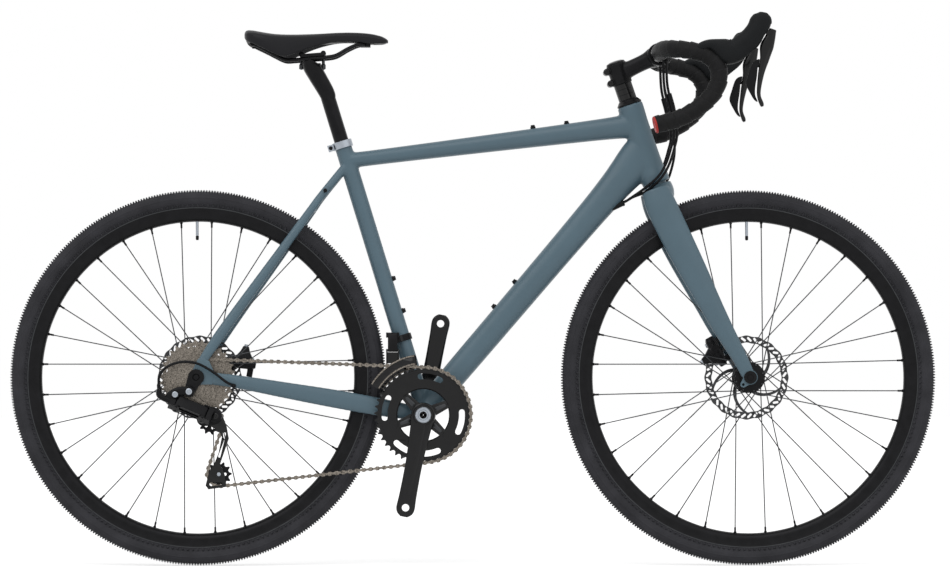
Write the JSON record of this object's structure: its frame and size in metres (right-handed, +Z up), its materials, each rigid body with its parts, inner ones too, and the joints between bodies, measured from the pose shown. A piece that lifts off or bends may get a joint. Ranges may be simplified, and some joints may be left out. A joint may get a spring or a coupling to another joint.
{
  "type": "gravel bicycle",
  "caption": "Drop-bar gravel bicycle with disc brakes: sloping frame, wide tyres, front and rear derailleurs, turning wheels, cranks and steering, no pedals.",
  "frame": {"origin": "on the ground, midway between the two axles, in the middle plane", "axes": "+X to the front wheel, +Y to the bicycle's left, +Z up"},
  "size_m": [1.732, 0.4702, 1.0206],
  "materials": {
    "black_alloy": "satin black anodised",
    "black_plastic": "matte",
    "chain_steel": "oiled",
    "hood_rubber": "matte",
    "paint": "satin grey blue",
    "red_plastic": "gloss",
    "saddle_skin": "satin",
    "silver": "brushed",
    "spoke_steel": "plain",
    "tape": "soft matte",
    "tyre": "matte"
  },
  "bodies": {
    "steering": {"bar_plug_left": "red_plastic", "bar_plug_right": "red_plastic", "bar_tape_left": "tape", "bar_tape_right": "tape", "fork": "paint", "front_axle": "black_alloy", "front_brake_hose": "black_plastic", "front_caliper": "black_alloy", "handlebar": "black_alloy", "headset_cover": "black_alloy", "headset_spacers": "black_alloy", "hood_left": "hood_rubber", "hood_right": "hood_rubber", "stem": "black_alloy", "stem_faceplate": "black_alloy", "top_cap": "black_alloy"},
    "frame_body": {"bb_cup_left": "black_alloy", "bb_cup_right": "black_alloy", "chain": "chain_steel", "derailleur_hanger": "black_alloy", "fd_body": "black_alloy", "frame": "paint", "front_shift_housing": "black_plastic", "rd_b_knuckle": "black_plastic", "rd_housing": "black_plastic", "rear_axle": "black_alloy", "rear_brake_hose": "black_plastic", "rear_caliper": "black_alloy", "rear_shift_housing": "black_plastic", "seat_collar": "silver"},
    "brake_lever_left_body": {"brake_lever_left": "black_alloy"},
    "brake_lever_right_body": {"brake_lever_right": "black_alloy"},
    "cassette_body": {"cassette": "chain_steel"},
    "crankset": {"chainring_large": "black_alloy", "chainring_small": "black_alloy", "crank_left": "black_alloy", "crank_right": "black_alloy"},
    "front_derailleur_cage": {"fd_cage": "silver"},
    "front_derailleur_link": {"fd_link": "black_alloy"},
    "front_wheel": {"front_hub_spokes": "spoke_steel", "front_rim": "black_alloy", "front_rotor": "silver", "front_tyre": "tyre"},
    "rear_derailleur_cage": {"rd_cage": "black_alloy"},
    "guide_pulley": {"rd_guide_pulley": "black_plastic"},
    "rear_derailleur_inner_link": {"rd_inner_link": "black_plastic"},
    "rear_derailleur_outer_link": {"rd_outer_link": "black_plastic"},
    "rear_derailleur_knuckle": {"rd_p_knuckle": "black_plastic"},
    "tension_pulley": {"rd_tension_pulley": "black_plastic"},
    "rear_wheel": {"rear_hub_spokes": "spoke_steel", "rear_rim": "black_alloy", "rear_rotor": "silver", "rear_tyre": "tyre"},
    "seat_assembly": {"saddle_clamp": "black_alloy", "saddle_cover": "saddle_skin", "saddle_rails": "black_alloy", "saddle_shell": "black_plastic", "seatpost": "black_alloy"},
    "shift_paddle_left_body": {"shift_paddle_left": "black_plastic"},
    "shift_paddle_right_body": {"shift_paddle_right": "black_plastic"}
  },
  "joints": [
    {"name": "steering", "type": "hinge", "parent": "frame_body", "child": "steering", "pos_m": [0.4724, 0, 0.3365], "axis": [-0.3223, 0, 0.9466], "range_deg": [-70, 70], "deforming": ["front_shift_housing", "rear_brake_hose", "rear_shift_housing"]},
    {"name": "seatpost_height", "type": "slide", "parent": "frame_body", "child": "seat_assembly", "axis": [-0.294, 0, 0.9558], "range_m": [-0.03, 0.04]},
    {"name": "front_wheel_spin", "type": "hinge", "parent": "steering", "child": "front_wheel", "pos_m": [0.515, 0, 0.351], "axis": [0, 1, 0], "continuous": true},
    {"name": "rear_wheel_spin", "type": "hinge", "parent": "frame_body", "child": "rear_wheel", "pos_m": [-0.515, 0, 0.351], "axis": [0, 1, 0], "continuous": true},
    {"name": "crank_spin", "type": "hinge", "parent": "frame_body", "child": "crankset", "pos_m": [-0.09398, 0, 0.281], "axis": [0, 1, 0], "continuous": true, "deforming": ["chain"]},
    {"name": "cassette_spin", "type": "hinge", "parent": "frame_body", "child": "cassette_body", "pos_m": [-0.515, 0, 0.351], "axis": [0, 1, 0], "continuous": true},
    {"name": "rear_shift", "type": "hinge", "parent": "frame_body", "child": "rear_derailleur_outer_link", "pos_m": [-0.5466, -0.09312, 0.30636], "axis": [0.3428, 0.455, 0.8219], "range_deg": [-20, 20], "deforming": ["chain"]},
    {"name": "rear_shift_inner", "type": "hinge", "parent": "frame_body", "child": "rear_derailleur_inner_link", "pos_m": [-0.5494, -0.07888, 0.29964], "axis": [0.3428, 0.455, 0.8219], "range_deg": [-20, 20], "deforming": ["chain"]},
    {"name": "rear_shift_knuckle", "type": "hinge", "parent": "rear_derailleur_outer_link", "child": "rear_derailleur_knuckle", "pos_m": [-0.49861, -0.09312, 0.28634], "axis": [0.3428, 0.455, 0.8219], "range_deg": [-20, 20], "deforming": ["chain"]},
    {"name": "cage_tension", "type": "hinge", "parent": "rear_derailleur_knuckle", "child": "rear_derailleur_cage", "pos_m": [-0.479, -0.05215, 0.279], "axis": [0, 1, 0], "range_deg": [-30, 40], "stiffness_Nm_per_rad": 0.6, "deforming": ["chain"]},
    {"name": "guide_pulley_spin", "type": "hinge", "parent": "rear_derailleur_cage", "child": "guide_pulley", "pos_m": [-0.4884, -0.05215, 0.2678], "axis": [0, 1, 0], "continuous": true, "deforming": ["chain"]},
    {"name": "tension_pulley_spin", "type": "hinge", "parent": "rear_derailleur_cage", "child": "tension_pulley", "pos_m": [-0.4735, -0.05215, 0.17094], "axis": [0, 1, 0], "continuous": true, "deforming": ["chain"]},
    {"name": "front_shift", "type": "hinge", "parent": "frame_body", "child": "front_derailleur_link", "pos_m": [-0.15998, -0.036, 0.43], "axis": [1, 0, 0], "range_deg": [-2, 14], "deforming": ["chain"]},
    {"name": "front_shift_cage", "type": "hinge", "parent": "front_derailleur_link", "child": "front_derailleur_cage", "pos_m": [-0.15998, -0.04, 0.402], "axis": [1, 0, 0], "range_deg": [-14, 2], "deforming": ["chain"]},
    {"name": "brake_lever_right_pull", "type": "hinge", "parent": "steering", "child": "brake_lever_right_body", "pos_m": [0.53783, -0.207, 0.98063], "axis": [0, 1, 0], "range_deg": [0, 15], "stiffness_Nm_per_rad": 1.2, "springref_deg": -8.59},
    {"name": "shift_paddle_right_push", "type": "hinge", "parent": "brake_lever_right_body", "child": "shift_paddle_right_body", "pos_m": [0.51863, -0.211, 0.92613], "axis": [-0.1301, 0, -0.9915], "range_deg": [0, 18], "stiffness_Nm_per_rad": 0.2, "springref_deg": -11.46},
    {"name": "brake_lever_left_pull", "type": "hinge", "parent": "steering", "child": "brake_lever_left_body", "pos_m": [0.53783, 0.207, 0.98063], "axis": [0, 1, 0], "range_deg": [0, 15], "stiffness_Nm_per_rad": 1.2, "springref_deg": -8.59},
    {"name": "shift_paddle_left_push", "type": "hinge", "parent": "brake_lever_left_body", "child": "shift_paddle_left_body", "pos_m": [0.51863, 0.211, 0.92613], "axis": [0.1301, 0, 0.9915], "range_deg": [0, 18], "stiffness_Nm_per_rad": 0.2, "springref_deg": -11.46}
  ],
  "couplings": [
    {"joint": "cassette_spin", "follows": "crank_spin", "ratio": 2.5882},
    {"joint": "guide_pulley_spin", "follows": "crank_spin", "ratio": -4},
    {"joint": "tension_pulley_spin", "follows": "crank_spin", "ratio": 4},
    {"joint": "rear_shift_inner", "follows": "rear_shift", "ratio": 1},
    {"joint": "rear_shift_knuckle", "follows": "rear_shift", "ratio": -1},
    {"joint": "front_shift_cage", "follows": "front_shift", "ratio": -1}
  ]
}
